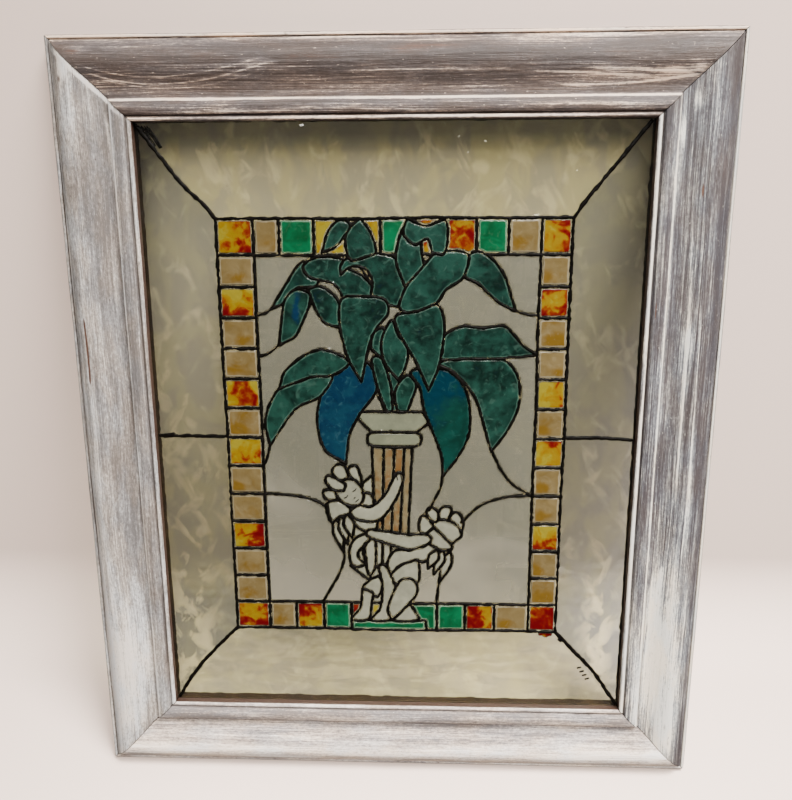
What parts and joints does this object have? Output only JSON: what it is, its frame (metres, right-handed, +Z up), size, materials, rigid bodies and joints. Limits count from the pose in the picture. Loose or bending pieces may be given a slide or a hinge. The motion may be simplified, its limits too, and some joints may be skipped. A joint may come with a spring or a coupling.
{
  "type": "stained glass window",
  "caption": "Framed glass panel with raised black lines that divide it into clear and coloured cells, held in a wide mitred moulding and hung by its top rail",
  "frame": {"origin": "middle of the top rail's back face, where the window hangs on a wall", "axes": "+Z up along the tall side, the picture faces -Y, +Y out of the back towards the wall, +X to the viewer's right"},
  "size_m": [0.524, 0.0238, 0.6261],
  "materials": {
    "painted_wood": "old off-white and grey paint brushed over brown, worn through along the edges",
    "clear_glass": "clear with slight ripples and a faint warm tint",
    "relief_black": "dried black relief paste, slightly glossy",
    "strip_wood": "bare and unfinished",
    "green_film": "brushed transparent glass paint",
    "blue_film": "brushed transparent glass paint",
    "amber_film": "pooled transparent glass paint",
    "tan_film": "thin transparent glass paint",
    "white_film": "milky transparent glass paint"
  },
  "bodies": {
    "root": {"top_rail": "painted_wood", "right_stile": "painted_wood", "bottom_rail": "painted_wood", "left_stile": "painted_wood", "glass_pane": "clear_glass", "top_strip": "strip_wood", "bottom_strip": "strip_wood", "left_strip": "strip_wood", "right_strip": "strip_wood", "leading": "relief_black"}
  },
  "joints": []
}
